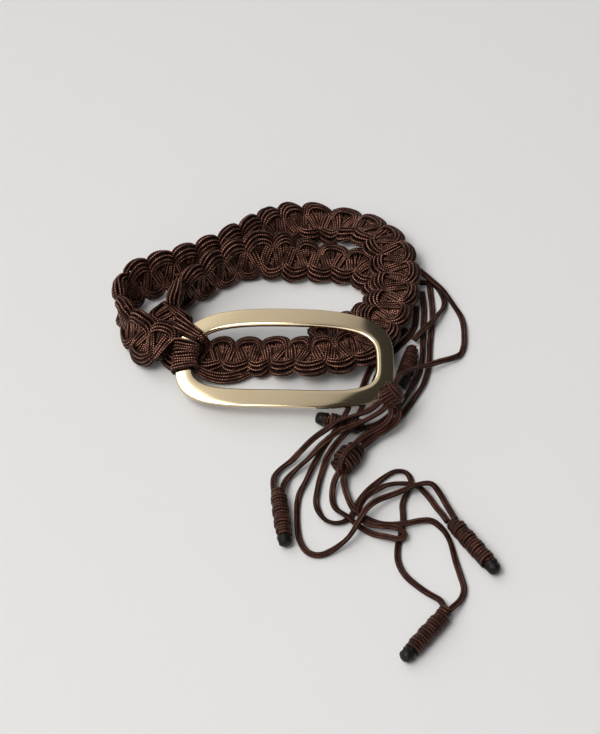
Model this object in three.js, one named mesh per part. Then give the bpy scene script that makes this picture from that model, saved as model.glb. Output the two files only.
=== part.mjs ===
// Knotted cord belt with an oblong frame buckle, lying in two windings
// with its tie cords loose beside it. Millimetres, +Z up, resting on z = 0.
import * as THREE from 'three';

// Knotted band
const bandWidth = 26;          // across the scallops
const bandThick = 7;
const knotPitch = 13;          // length of one square knot
const scallopDepth = 3.4;      // how far an edge loop stands out
const ringsPerKnot = 6;

// The two windings: size of the whole coil on the table
const coilLength = 160;
const coilDepth = 120;

// Buckle
const buckleLength = 107.5;
const buckleHeight = 54.5;
const longBarWidth = 9.3;
const sideBarWidth = 8.4;
const plateThick = 2.6;
const edgeBevel = 0.6;
const buckleArch = 5;          // drop of the two ends below the middle
const buckleCrown = 0.8;       // drop of the long bars below the middle
const buckleFlare = 0.02;      // how much wider the lower bar is, as a share
const buckleTop = 20;          // middle of the face above the table
const buckleTilt = 12;         // degrees, upper bar raised
const buckleLean = 2.4;        // degrees, right end raised
const buckleTurn = -2.4;       // degrees, turned on the table
const buckleShift = 0.4;       // away from the viewer

const radians = THREE.MathUtils.degToRad;

// Course of the band, from the buckle's left bar round both windings.
// x and y in percent of the coil's length and depth, lift in band thicknesses,
// roll in degrees: 0 lies flat, 90 stands on edge.
const bandCourse = [
  { x: -36.2, y: 8.8, lift: 1.13, roll: 170 },
  { x: -38.9, y: 10.4, lift: 0.6, roll: 152 },
  { x: -42.4, y: 13.4, lift: 0.05, roll: 131 },
  { x: -46.4, y: 18.6, lift: 0, roll: 112 },
  { x: -49.7, y: 25.4, lift: 0, roll: 95 },
  { x: -51, y: 32.9, lift: 0, roll: 80 },
  { x: -49.8, y: 40.6, lift: 0, roll: 72 },
  { x: -45.4, y: 46.7, lift: 0, roll: 70 },
  { x: -38.8, y: 51.3, lift: 0, roll: 72 },
  { x: -31.9, y: 55, lift: 0, roll: 74 },
  { x: -25, y: 59.4, lift: 0, roll: 74 },
  { x: -18.1, y: 64.6, lift: 0, roll: 71 },
  { x: -11.3, y: 70.4, lift: 0, roll: 60 },
  { x: -4.4, y: 77.3, lift: 0, roll: 40 },
  { x: 2.5, y: 83.4, lift: 0, roll: 23 },
  { x: 8.8, y: 86.7, lift: 0, roll: 9 },
  { x: 16.9, y: 86.7, lift: 0, roll: 0 },
  { x: 24.4, y: 82.1, lift: 0.3, roll: -8 },
  { x: 30.3, y: 74.2, lift: 0.65, roll: -10 },
  { x: 33.8, y: 64.2, lift: 0.97, roll: -5 },
  { x: 35.2, y: 54.2, lift: 1.05, roll: 0 },
  { x: 35, y: 44.2, lift: 1.05, roll: 0 },
  { x: 33.1, y: 34.2, lift: 1.05, roll: 0 },
  { x: 29.1, y: 22.5, lift: 1.05, roll: 0 },
  { x: 23.4, y: 12, lift: 1.05, roll: 0 },
  { x: 16.9, y: 8.3, lift: 1.05, roll: 0 },
  { x: 9.4, y: 6.9, lift: 1.05, roll: 0 },
  { x: 1.9, y: 8.8, lift: 0.6, roll: 0 },
  { x: -5.6, y: 11.3, lift: 0.1, roll: 0 },
  { x: -13.8, y: 11.3, lift: 0, roll: 0 },
  { x: -21.9, y: 11.3, lift: 0, roll: 0 },
  { x: -28.8, y: 12.2, lift: 0, roll: 0 },
  { x: -32.4, y: 15.2, lift: 0, roll: 0 },
  { x: -35, y: 20.6, lift: 0, roll: -4 },
  { x: -36.8, y: 27.3, lift: 0, roll: -24 },
  { x: -36.2, y: 34.2, lift: 0, roll: -62 },
  { x: -33, y: 40, lift: 0, roll: -86 },
  { x: -27.8, y: 45.2, lift: 0, roll: -97 },
  { x: -20.8, y: 53.6, lift: 0, roll: -102 },
  { x: -13.8, y: 58.8, lift: 0, roll: -108 },
  { x: -6.9, y: 62.4, lift: 0, roll: -126 },
  { x: 0.6, y: 63.8, lift: 0, roll: -156 },
  { x: 6.3, y: 64.1, lift: 0, roll: -166 },
  { x: 12, y: 64.2, lift: 0, roll: -177 },
  { x: 18, y: 63.6, lift: 0, roll: -180 },
  { x: 25, y: 60.8, lift: 0, roll: -180 },
  { x: 30, y: 56, lift: 0, roll: -180 },
  { x: 32.5, y: 49, lift: 0, roll: -180 },
  { x: 32.5, y: 40.8, lift: 0, roll: -180 },
  { x: 29.4, y: 34.2, lift: 0, roll: -180 },
  { x: 25, y: 28.8, lift: 0, roll: -180 },
  { x: 20, y: 25, lift: 0, roll: -180 },
  { x: 14.4, y: 21.9, lift: 0, roll: -180 },
  { x: 8.8, y: 19.4, lift: 0, roll: -180 },
];

// Sleeve of cords wrapped round the left bar: where it starts and ends round
// the buckle's outline, in degrees, 180 being the middle of the left bar
const wrapFrom = 142;
const wrapTo = 186;
const wrapSlices = 6;
const wrapThick = 1.7;
const wrapSlack = 0.4;         // inside, round the bar

// Loose tie cords, a flat braid
const cordWidth = 3.4;
const cordThick = 1.6;
const cordStep = 5.5;

// Wrapped barrel knots at the ends of the ties
const barrelRadius = 4.2;
const barrelShoulder = 1.1;
const barrelTip = 5;           // sealed end
const tipRadius = 3.4;

// Tie cords: points along each one, laid by hand
const tieCords = {
  tie_cord_edge: [
    [74.5, 61, 0.85], [75, 52, 0.85], [75, 42, 0.85], [74, 32.5, 0.85], [73, 23, 0.85], [72.5, 14, 0.85],
    [71, 5, 0.85], [68.5, -3, 0.85], [65, -9.5, 0.85], [61.5, -15.5, 0.85], [57.5, -22, 0.85],
    [52, -27.5, 0.85], [46.5, -31.5, 0.85], [42, -35.5, 1.2], [39, -38, 2],
  ],
  tie_cord_side_loop: [
    [71, 71, 2.9], [75.5, 65.5, 2.9], [80, 60, 3], [83.5, 53.5, 2.9], [87, 47.5, 1.5], [89.5, 43, 0.85],
    [90.5, 37, 0.85], [90.5, 30, 0.85], [90, 22.5, 0.85], [88, 17, 1.2], [83.5, 13, 2.5], [78, 10, 4],
    [72.5, 6.5, 6], [66.5, 2.5, 8.5], [61.5, -1.5, 10.8], [57.5, -5.5, 13], [54.5, -12.5, 16],
  ],
  tie_cord_barrel_c: [
    [72, 66, 0.85], [76, 65, 0.85], [79.5, 60, 0.85], [81.5, 54, 0.85], [81, 48.5, 1.2], [77.5, 41.5, 2.9],
    [73.5, 34.5, 4.9], [69.5, 29.5, 5.3], [66.5, 26, 4.6],
  ],
  tie_cord_barrel_a: [
    [70.5, 57, 0.85], [71, 48, 0.85], [70, 34, 0.85], [69.5, 24, 0.85], [69, 14, 0.85], [67, 5.5, 0.85],
    [64, -2.5, 1.8], [61, -10, 3.2], [57.5, -16.5, 3.2], [53.5, -21.5, 3.2], [49.5, -26, 3.3], [45, -29.5, 3.5],
    [41, -31.5, 4],
  ],
  tie_cord_inner: [
    [67, 47, 0.85], [66, 37, 0.85], [63, 30, 0.85], [58, 23.5, 0.85], [53, 17, 0.85], [49, 10, 0.85],
    [45.5, 2, 0.85], [43, -7, 1.5], [41.5, -15.5, 5], [40, -18.5, 8.2], [36, -28.5, 9.7], [31, -38, 9.5],
    [25, -44, 6], [20.5, -50, 2.5], [18, -58, 1], [16, -67.5, 0.85], [15.5, -76.5, 0.85], [19.5, -85.5, 0.85],
    [25, -87.5, 0.85], [31, -84.5, 0.85], [34.5, -77, 0.85], [39.5, -69, 0.85], [47.5, -60.5, 0.85],
    [54, -56.5, 0.85], [59, -57.5, 0.85], [61, -62.5, 0.85], [59, -69, 0.85], [56.5, -75.5, 0.85],
    [56.5, -84, 0.85], [55.5, -92.5, 0.85], [53.5, -101, 0.85], [53.5, -109.5, 0.85], [56.5, -117, 0.85],
    [62, -123, 0.85], [67.5, -127.5, 0.85], [72, -131.5, 2], [73.5, -136, 4],
  ],
  tie_cord_long_bight: [
    [59.8, 32.5, 0.85], [57.2, 29, 0.85], [54, 25, 0.85], [49, 18.5, 0.85], [44.5, 11.5, 0.85], [41, 3.5, 0.85],
    [38.5, -5, 1.5], [36, -14, 5], [33.5, -18.5, 8.2], [29.5, -29, 9.7], [25, -38, 9.2], [20, -44, 5.2],
    [15, -51.5, 2.2], [10.5, -62.5, 1.2], [7, -71.5, 0.85], [6.5, -90, 0.85], [8, -98.5, 0.85],
    [11.5, -104.5, 0.85], [17, -106, 0.85], [24, -103, 2.5], [30.5, -98.5, 5], [35, -91.5, 7.2],
    [38.5, -84, 7.2], [44, -78, 6], [51, -73, 4], [57.5, -70.5, 5], [64.5, -67.5, 5.2], [70.5, -66.5, 4.5],
    [74, -70.5, 3], [77, -77, 2.5], [80, -85, 4],
  ],
  tie_cord_barrel_b_upper: [
    [47.5, -23, 14.2], [42.5, -27, 12.8], [37, -30, 12], [31, -32.5, 12], [25, -35.5, 12], [20, -39, 11],
    [14, -43, 8.5], [8, -48, 5.5], [3, -52, 2.8], [-1.5, -55.5, 1.5], [-4.4, -60, 2], [-5, -65.5, 3.5],
    [-4.7, -70, 4.2],
  ],
  tie_cord_barrel_b_lower: [
    [48.3, -27.8, 13.4], [44, -31.2, 12.5], [38.5, -34.5, 12], [32.5, -37.5, 12], [27, -40.5, 12], [22, -44, 11],
    [16.5, -48, 8.5], [11.5, -52.5, 5.2], [6.5, -56, 2.5], [2.5, -60, 1.5], [0.9, -63, 2.5],
    [-0.1, -66.5, 3.8], [-0.7, -69.6, 4.1],
  ],
  knot_link_left: [
    [51.5, -26.5, 14.3], [52, -29.5, 11.9], [50, -32.5, 9.3], [46, -35, 7.6], [40.5, -38.5, 7], [37, -41, 6.8],
  ],
  knot_link_right: [
    [55, -24, 12.2], [56, -27, 9.5], [54.5, -31, 7], [49.5, -35, 5.3], [44.5, -38, 4.6], [40.5, -42, 4.6],
  ],
  tie_cord_barrel_d: [
    [24.5, -64, 5], [23, -71.5, 1.5], [24.5, -78.5, 1], [29.5, -84.5, 3], [35.5, -90, 2.5], [41.5, -93.5, 1],
    [49, -97, 3], [54.5, -98, 3], [57.3, -95.8, 3.4], [53.5, -93, 5], [46, -92, 5], [39.5, -90.5, 5],
    [35.5, -84, 5], [38, -76.5, 5], [43.5, -69.5, 3], [49, -66.5, 3], [56.5, -65.5, 3], [64, -67, 3],
    [69, -72.5, 2], [72.5, -78, 1], [75, -83, 2.5], [76.5, -87, 4],
  ],
  tie_cord_barrel_e: [
    [28.5, -62, 5], [29, -67, 2.5], [30.5, -74, 3], [33.5, -81, 3], [38.5, -85.5, 3], [45.5, -88.5, 2.5],
    [52.5, -89.3, 2.9], [58.5, -89, 3], [64.5, -87, 2], [70, -86, 0.85], [74.5, -90, 0.85], [78, -98, 0.85],
    [80, -107.5, 0.85], [82, -117, 0.85], [83.5, -125, 0.85], [81.5, -131.5, 2], [77.5, -137, 4],
  ],
};

// Barrel knots: entry face on the table, heading of the tip, length
const barrels = [
  { name: 'barrel_knot_a', x: 38.8, y: -31.9, heading: 165, length: 24.5 },
  { name: 'barrel_knot_b', x: -2.7, y: -70.6, heading: -83.5, length: 32 },
  { name: 'barrel_knot_c', x: 64.6, y: 18, heading: -108, length: 25.5 },
  { name: 'barrel_knot_d', x: 79.4, y: -88.6, heading: -55.5, length: 35 },
  { name: 'barrel_knot_e', x: 75, y: -139.2, heading: -129, length: 33.5 },
];

// Round overhand knots: middle, half sizes, turn on the table
const roundKnots = [
  { name: 'round_knot_upper', x: 52, y: -22, z: 17.5, half: [4.6, 5.2, 4.6], turn: 0 },
  { name: 'round_knot_lower', x: 30.3, y: -52.5, z: 5.9, half: [5.9, 10, 5.8], turn: -28.7 },
];

// Materials
const cordBrown = new THREE.MeshStandardMaterial({ color: 0x3a2119, roughness: 0.62, metalness: 0 });
const paleGold = new THREE.MeshStandardMaterial({ color: 0xc9b48a, roughness: 0.22, metalness: 1 });

function named(name, geometry, material) {
  const mesh = new THREE.Mesh(geometry, material);
  mesh.name = name;
  return mesh;
}

// One closed body from equal rings of points, with a cap on each end
function skin(rings) {
  const size = rings[0].length;
  const points = rings.flat();
  const faces = [];
  for (let r = 0; r + 1 < rings.length; r++) {
    for (let i = 0; i < size; i++) {
      const a = r * size + i;
      const b = r * size + (i + 1) % size;
      faces.push(a, b, b + size, a, b + size, a + size);
    }
  }
  for (const [ring, flip] of [[0, true], [rings.length - 1, false]]) {
    const middle = points.length;
    points.push(rings[ring].reduce((sum, p) => sum.add(p), new THREE.Vector3()).divideScalar(size));
    for (let i = 0; i < size; i++) {
      const a = ring * size + i;
      const b = ring * size + (i + 1) % size;
      faces.push(...(flip ? [middle, b, a] : [middle, a, b]));
    }
  }
  const geometry = new THREE.BufferGeometry().setFromPoints(points);
  geometry.setIndex(faces);
  return geometry;
}

// Middle line of the band with its roll and the direction across it
function bandLine() {
  const places = bandCourse.map((s) => {
    const lean = radians(s.roll);
    const halfHeight = bandWidth / 2 * Math.abs(Math.sin(lean)) + bandThick / 2 * Math.abs(Math.cos(lean));
    return new THREE.Vector3(s.x / 100 * coilLength, s.y / 100 * coilDepth, s.lift * bandThick + halfHeight);
  });
  const curve = new THREE.CatmullRomCurve3(places, false, 'centripetal');
  const last = bandCourse.length - 1;
  const at = (share) => {
    const t = curve.getUtoTmapping(share);
    const index = Math.min(Math.floor(t * last), last - 1);
    const between = THREE.MathUtils.smoothstep(t * last - index, 0, 1);
    const roll = radians(THREE.MathUtils.lerp(bandCourse[index].roll, bandCourse[index + 1].roll, between));
    const along = curve.getTangent(t);
    const outward = new THREE.Vector3(-along.y, along.x, 0).normalize();
    const up = new THREE.Vector3().crossVectors(along, outward);
    const across = outward.clone().multiplyScalar(Math.cos(roll)).addScaledVector(up, Math.sin(roll));
    const face = new THREE.Vector3().crossVectors(along, across);
    return { point: curve.getPoint(t), along, across, face };
  };
  return { at, length: curve.getLength() };
}

// Scalloped sweep: loops stand out on both edges, half a knot apart
function bandGeometry() {
  const line = bandLine();
  const knots = Math.round(line.length / knotPitch);
  const steps = knots * ringsPerKnot;
  const loop = (phase) => Math.sqrt(1 - (2 * (phase - Math.floor(phase)) - 1) ** 2);
  const rings = [];
  for (let step = 0; step <= steps; step++) {
    const { point, across, face } = line.at(step / steps);
    const phase = step / ringsPerKnot;
    const near = loop(phase + 0.08);
    const far = loop(phase + 0.58);
    const outer = bandWidth / 2 - scallopDepth * (1 - near);
    const inner = bandWidth / 2 - scallopDepth * (1 - far);
    const half = bandThick / 2;
    const section = [
      [outer, 0.45 * half], [outer - 0.3 * bandThick, half], [-inner + 0.3 * bandThick, half], [-inner, 0.45 * half],
      [-inner, -0.45 * half], [-inner + 0.3 * bandThick, -half], [outer - 0.3 * bandThick, -half], [outer, -0.45 * half],
    ];
    rings.push(section.map(([w, h]) => point.clone().addScaledVector(across, w).addScaledVector(face, h)));
  }
  return skin(rings);
}

// Buckle: rounded oblong outline, pierced, crowned like the face of a watch
function oblong(halfLength, halfHeight, fullness, angle) {
  const c = Math.cos(angle);
  const s = Math.sin(angle);
  const x = halfLength * Math.sign(c) * Math.abs(c) ** (2 / fullness);
  const y = halfHeight * Math.sign(s) * Math.abs(s) ** (2 / fullness);
  return [x * (1 - buckleFlare * y / halfHeight), y];
}

const outerEdge = (angle) => oblong(buckleLength / 2, buckleHeight / 2, 3.3, angle);
const innerEdge = (angle) => oblong(buckleLength / 2 - sideBarWidth, buckleHeight / 2 - longBarWidth, 3.6, angle);

function onDome(x, y, depth) {
  const halfLength = buckleLength / 2;
  const halfHeight = buckleHeight / 2;
  const z = -buckleArch * (x / halfLength) ** 2 - buckleCrown * (y / halfHeight) ** 2;
  const normal = new THREE.Vector3(
    2 * buckleArch * x / halfLength ** 2, 2 * buckleCrown * y / halfHeight ** 2, 1).normalize();
  return new THREE.Vector3(x, y, z).addScaledVector(normal, -depth);
}

function buckleGeometry() {
  const sides = 48;
  const rings = [];
  for (let i = 0; i < sides; i++) {
    const angle = (i + 0.5) / sides * 2 * Math.PI;
    const outer = outerEdge(angle);
    const inner = innerEdge(angle);
    const across = new THREE.Vector2(inner[0] - outer[0], inner[1] - outer[1]).normalize();
    const step = (from, way) => [from[0] + across.x * way, from[1] + across.y * way];
    rings.push([
      onDome(...outer, plateThick), onDome(...outer, edgeBevel), onDome(...step(outer, edgeBevel), 0),
      onDome(...step(inner, -edgeBevel), 0), onDome(...inner, edgeBevel), onDome(...inner, plateThick),
    ]);
  }
  const size = rings[0].length;
  const faces = [];
  for (let r = 0; r < sides; r++) {
    for (let i = 0; i < size; i++) {
      const a = r * size + i;
      const b = r * size + (i + 1) % size;
      const c = (r + 1) % sides * size + (i + 1) % size;
      const d = (r + 1) % sides * size + i;
      faces.push(a, d, c, a, c, b);
    }
  }
  const geometry = new THREE.BufferGeometry().setFromPoints(rings.flat());
  geometry.setIndex(faces);
  return geometry;
}

// Sleeve round the bar: the buckle's own section grown outward, as a pipe
function wrapGeometry() {
  const stations = [];
  for (let i = 0; i <= wrapSlices; i++) stations.push(radians(THREE.MathUtils.lerp(wrapFrom, wrapTo, i / wrapSlices)));
  const shell = (angle, grow) => {
    const outer = outerEdge(angle);
    const inner = innerEdge(angle);
    const across = new THREE.Vector2(inner[0] - outer[0], inner[1] - outer[1]).normalize().multiplyScalar(grow);
    const left = [outer[0] - across.x, outer[1] - across.y];
    const right = [inner[0] + across.x, inner[1] + across.y];
    return [
      onDome(...left, plateThick + grow), onDome(...left, -grow), onDome(...right, -grow), onDome(...right, plateThick + grow),
    ];
  };
  const shells = stations.map((angle) => [shell(angle, wrapSlack + wrapThick), shell(angle, wrapSlack)]);
  const at = (slice, layer, corner) => slice * 8 + layer * 4 + corner % 4;
  const faces = [];
  const quad = (a, b, c, d) => faces.push(a, b, c, a, c, d);
  for (let k = 0; k < 4; k++) {
    for (let i = 0; i < wrapSlices; i++) {
      quad(at(i, 0, k), at(i + 1, 0, k), at(i + 1, 0, k + 1), at(i, 0, k + 1));
      quad(at(i, 1, k + 1), at(i + 1, 1, k + 1), at(i + 1, 1, k), at(i, 1, k));
    }
    quad(at(0, 0, k), at(0, 0, k + 1), at(0, 1, k + 1), at(0, 1, k));
    quad(at(wrapSlices, 0, k + 1), at(wrapSlices, 0, k), at(wrapSlices, 1, k), at(wrapSlices, 1, k + 1));
  }
  const geometry = new THREE.BufferGeometry().setFromPoints(shells.flat(2));
  geometry.setIndex(faces);
  return geometry;
}

// Flat braid kept level along its route
class LevelCurve extends THREE.CatmullRomCurve3 {
  computeFrenetFrames(segments) {
    const tangents = [];
    const normals = [];
    const binormals = [];
    for (let i = 0; i <= segments; i++) {
      const along = this.getTangentAt(i / segments);
      const side = new THREE.Vector3(-along.y, along.x, 0).normalize();
      tangents.push(along);
      normals.push(side);
      binormals.push(new THREE.Vector3().crossVectors(along, side));
    }
    return { tangents, normals, binormals };
  }
}

function cordGeometry(points) {
  const curve = new LevelCurve(points.map((p) => new THREE.Vector3(...p)), false, 'centripetal');
  const w = cordWidth / 2;
  const h = cordThick / 2;
  const section = new THREE.Shape([
    [w, -0.4 * h], [w, 0.4 * h], [0.6 * w, h], [-0.6 * w, h], [-w, 0.4 * h], [-w, -0.4 * h], [-0.6 * w, -h], [0.6 * w, -h],
  ].map(([x, y]) => new THREE.Vector2(x, y)));
  const steps = Math.round(curve.getLength() / cordStep);
  return new THREE.ExtrudeGeometry(section, { steps, bevelEnabled: false, extrudePath: curve });
}

function barrelGeometry(length) {
  const profile = [
    [0, 0], [barrelRadius - barrelShoulder, 0], [barrelRadius, barrelShoulder], [barrelRadius, length - barrelTip],
    [tipRadius, length - barrelTip], [tipRadius, length - barrelShoulder], [tipRadius - barrelShoulder, length], [0, length],
  ];
  return new THREE.LatheGeometry(profile.map(([r, y]) => new THREE.Vector2(r, y)), 10);
}

const belt = new THREE.Group();
const band = named('knotted_band', bandGeometry(), cordBrown);
belt.add(band);

const buckle = named('buckle_frame', buckleGeometry(), paleGold);
buckle.position.set(0, buckleShift, buckleTop);
buckle.rotation.set(radians(buckleTilt), -radians(buckleLean), radians(buckleTurn));
belt.add(buckle);

const wrap = named('bar_wrap', wrapGeometry(), cordBrown);
wrap.position.copy(buckle.position);
wrap.rotation.copy(buckle.rotation);
belt.add(wrap);

for (const [name, points] of Object.entries(tieCords)) {
  belt.add(named(name, cordGeometry(points), cordBrown));
}

for (const { name, x, y, heading, length } of barrels) {
  const barrel = named(name, barrelGeometry(length), cordBrown);
  barrel.position.set(x, y, barrelRadius);
  barrel.rotation.set(0, 0, radians(heading - 90));
  belt.add(barrel);
}

for (const { name, x, y, z, half, turn } of roundKnots) {
  const knot = named(name, new THREE.SphereGeometry(1, 10, 7), cordBrown);
  knot.position.set(x, y, z);
  knot.scale.set(...half);
  knot.rotation.z = radians(turn);
  belt.add(knot);
}

// Origin on the table under the middle of the band and buckle
const box = new THREE.Box3();
for (const mesh of [band, buckle, wrap]) box.expandByObject(mesh, true);
const middle = box.getCenter(new THREE.Vector3()).setZ(box.min.z);
for (const mesh of belt.children) mesh.position.sub(middle);

export default belt;
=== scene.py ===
import math
import random
import bpy
import numpy as np
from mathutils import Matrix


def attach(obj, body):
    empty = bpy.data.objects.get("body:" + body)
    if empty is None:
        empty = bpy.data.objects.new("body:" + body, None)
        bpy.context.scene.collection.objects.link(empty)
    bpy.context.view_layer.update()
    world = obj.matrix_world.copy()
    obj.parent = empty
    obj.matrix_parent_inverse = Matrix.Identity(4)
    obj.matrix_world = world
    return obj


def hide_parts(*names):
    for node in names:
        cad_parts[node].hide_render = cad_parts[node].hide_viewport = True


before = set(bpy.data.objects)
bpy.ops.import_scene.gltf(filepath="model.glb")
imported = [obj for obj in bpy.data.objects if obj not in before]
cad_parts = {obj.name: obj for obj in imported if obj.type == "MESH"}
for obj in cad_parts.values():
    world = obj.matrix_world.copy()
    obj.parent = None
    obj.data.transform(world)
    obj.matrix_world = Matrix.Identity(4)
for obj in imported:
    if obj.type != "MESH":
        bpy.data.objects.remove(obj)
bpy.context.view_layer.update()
random.seed(41)
noise = np.random.RandomState(41)

mm = 0.001
# where the drawing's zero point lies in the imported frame, in mm
drawingZero = np.array([8.838016510009766, -45.56644170026574, 0.20507842302322388])


def unit(v):
    return v / np.maximum(np.linalg.norm(v, axis=-1, keepdims=True), 1e-9)


def catmull(points, perSpan):
    # centripetal curve through the points, the same one that the solids follow
    p = np.array(points, float)
    p = np.vstack([2 * p[0] - p[1], p, 2 * p[-1] - p[-2]])
    out = []
    for i in range(1, len(p) - 2):
        p0, p1, p2, p3 = p[i - 1], p[i], p[i + 1], p[i + 2]
        d0 = max(np.sqrt(np.linalg.norm(p1 - p0)), 1e-4)
        d1 = max(np.sqrt(np.linalg.norm(p2 - p1)), 1e-4)
        d2 = max(np.sqrt(np.linalg.norm(p3 - p2)), 1e-4)
        t1 = ((p1 - p0) / d0 - (p2 - p0) / (d0 + d1) + (p2 - p1) / d1) * d1
        t2 = ((p2 - p1) / d1 - (p3 - p1) / (d1 + d2) + (p3 - p2) / d2) * d1
        t = np.linspace(0, 1, perSpan, endpoint=False)[:, None]
        out.append(p1 + t1 * t + (3 * (p2 - p1) - 2 * t1 - t2) * t ** 2 + (2 * (p1 - p2) + t1 + t2) * t ** 3)
    return np.vstack(out + [p[-2][None]])


def lengths(points):
    # distance from the first point to each, along the line
    return np.concatenate([[0], np.cumsum(np.linalg.norm(np.diff(points, axis=0), axis=1))])


def evenly(points, step):
    run = lengths(points)
    count = max(2, int(round(run[-1] / step)) + 1)
    at = np.linspace(0, run[-1], count)
    return np.stack([np.interp(at, run, points[:, k]) for k in range(points.shape[1])], 1)


def addObject(name, data, place=(0, 0, 0), turn=(0, 0, 0)):
    thing = bpy.data.objects.new(name, data)
    thing.location, thing.rotation_euler = place, turn
    bpy.context.scene.collection.objects.link(thing)
    return thing


def plainMesh(name, points, faces, material, smooth=True):
    mesh = bpy.data.meshes.new(name)
    mesh.from_pydata(points, [], faces)
    mesh.update()
    mesh.polygons.foreach_set("use_smooth", np.full(len(faces), smooth))
    mesh.materials.append(material)
    return mesh


class Weaver:
    # gathers swept strands into one mesh, with length and place round the strand as UV
    def __init__(self):
        self.verts, self.faces, self.uvs, self.count = [], [], [], 0

    def strand(self, path, outward, profile, places):
        # profile: (sideways, outward) offsets in mm, places: 0 on the crest, 0.5 beneath
        along = unit(np.gradient(path, axis=0))
        side = unit(np.cross(outward, along))
        out = np.cross(along, side)
        n, k = len(path), len(profile)
        prof = np.array(profile)
        ring = path[:, None, :] + side[:, None, :] * prof[None, :, :1] + out[:, None, :] * prof[None, :, 1:]
        first = self.count
        self.verts.append(ring.reshape(-1, 3))
        # each strand's stitches start at another place
        run = lengths(path) + noise.rand() * 40
        i, j = np.meshgrid(np.arange(n - 1), np.arange(k), indexing="ij")
        a = first + i * k + j
        b = first + i * k + (j + 1) % k
        self.faces.append(np.stack([a, b, b + k, a + k], -1).reshape(-1, 4))
        v0 = np.array(places)[j]
        v1 = np.array(places)[(j + 1) % k]
        u0, u1 = run[i], run[i + 1]
        self.uvs.append(np.stack([np.stack([u0, v0], -1), np.stack([u0, v1], -1),
                                  np.stack([u1, v1], -1), np.stack([u1, v0], -1)], 2).reshape(-1, 4, 2))
        # ends closed with a fan
        for row, flip in ((0, True), (n - 1, False)):
            middle = first + n * k + (0 if row == 0 else 1)
            ids = first + row * k + np.arange(k)
            nxt = np.roll(ids, -1)
            order = [ids, nxt] if not flip else [nxt, ids]
            self.faces.append(np.stack([order[0], order[1], np.full(k, middle), np.full(k, -1)], -1))
            self.uvs.append(np.full((k, 4, 2), 0.3))
        self.verts.append(np.stack([ring[0].mean(0), ring[-1].mean(0)]))
        self.count += n * k + 2

    def build(self, name, material):
        verts = np.vstack(self.verts) * mm
        # nothing sinks into the table
        verts[:, 2] = np.maximum(verts[:, 2], 0.02 * mm)
        quads = np.vstack(self.faces)
        uv = np.vstack(self.uvs)
        sizes = np.where(quads[:, 3] < 0, 3, 4)
        keep = np.arange(4)[None, :] < sizes[:, None]
        mesh = bpy.data.meshes.new(name)
        mesh.vertices.add(len(verts))
        mesh.vertices.foreach_set("co", verts.ravel())
        mesh.loops.add(int(sizes.sum()))
        mesh.loops.foreach_set("vertex_index", quads[keep].astype(np.int32))
        mesh.polygons.add(len(quads))
        mesh.polygons.foreach_set("loop_start", np.concatenate([[0], np.cumsum(sizes)[:-1]]).astype(np.int32))
        layer = mesh.uv_layers.new(name="strand")
        layer.data.foreach_set("uv", uv[keep].ravel())
        mesh.update(calc_edges=True)
        mesh.validate()
        mesh.polygons.foreach_set("use_smooth", np.ones(len(mesh.polygons), bool))
        mesh.materials.append(material)
        piece = addObject(name, mesh)
        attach(piece, "root")
        print("made", name, len(verts), "points", sum(sizes - 2), "triangles")
        return piece


def roundRib(radius, sides=7):
    turn = np.arange(sides) / sides
    points = [(radius * math.sin(2 * math.pi * t), radius * math.cos(2 * math.pi * t)) for t in turn]
    places = [min(t, 1 - t) for t in turn]
    return points, places


def flatBraid(width, thick, sides=6):
    # two ribs side by side with a groove between, as the real cord has
    lobe = width / 4
    points, places = [], []
    for way in (1, -1):
        for i in range(sides):
            step = i if way == 1 else sides - 1 - i
            degrees = -50 + step * 280 / (sides - 1)
            angle = math.radians(degrees)
            points.append((way * (lobe + lobe * math.sin(angle)), thick / 2 * math.cos(angle)))
            places.append(abs(degrees) / 360 if degrees < 180 else 1 - degrees / 360)
    return points, places


# place in mm, degrees downwards, focal length in pixels of a picture that many pixels high
cameraSettings = {"place": (7.701, -729.147, 880.951), "down": 50.0, "focal": 2300.0, "pixels": 734, "sensor": 36}
lens = bpy.data.cameras.new("camera")
lens.sensor_width = cameraSettings["sensor"]
lens.lens = cameraSettings["focal"] / cameraSettings["pixels"] * cameraSettings["sensor"]
lens.clip_start, lens.clip_end = 0.05, 20
camera = addObject("camera", lens, (np.array(cameraSettings["place"]) + drawingZero) * mm,
                   (math.radians(90 - cameraSettings["down"]), 0, 0))
bpy.context.scene.camera = camera
print("camera placed")


def newMaterial(name):
    material = bpy.data.materials.new(name)
    material.use_nodes = True
    nodes, links = material.node_tree.nodes, material.node_tree.links
    return material, nodes, links, nodes["Principled BSDF"]


def setInputs(shader, values):
    for name, value in values.items():
        shader.inputs[name].default_value = value


def mathNode(nodes, links, kind, first, second=None):
    node = nodes.new("ShaderNodeMath")
    node.operation = kind
    for slot, value in enumerate((first, second)):
        if value is None:
            continue
        if isinstance(value, (int, float)):
            node.inputs[slot].default_value = value
        else:
            links.new(value, node.inputs[slot])
    return node.outputs[0]


def rangeNode(nodes, links, source, spans, kind="LINEAR"):
    # spans: from low, from high, and then to low, to high where they aren't 0 and 1
    node = nodes.new("ShaderNodeMapRange")
    for slot, value in enumerate(spans, 1):
        node.inputs[slot].default_value = value
    node.interpolation_type = kind
    links.new(source, node.inputs[0])
    return node.outputs[0]


def cloudNode(nodes, links, scale, detail=2.0):
    place = nodes.new("ShaderNodeTexCoord")
    cloud = nodes.new("ShaderNodeTexNoise")
    setInputs(cloud, {"Scale": scale, "Detail": detail})
    links.new(place.outputs["Object"], cloud.inputs["Vector"])
    return cloud.outputs[0]


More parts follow.
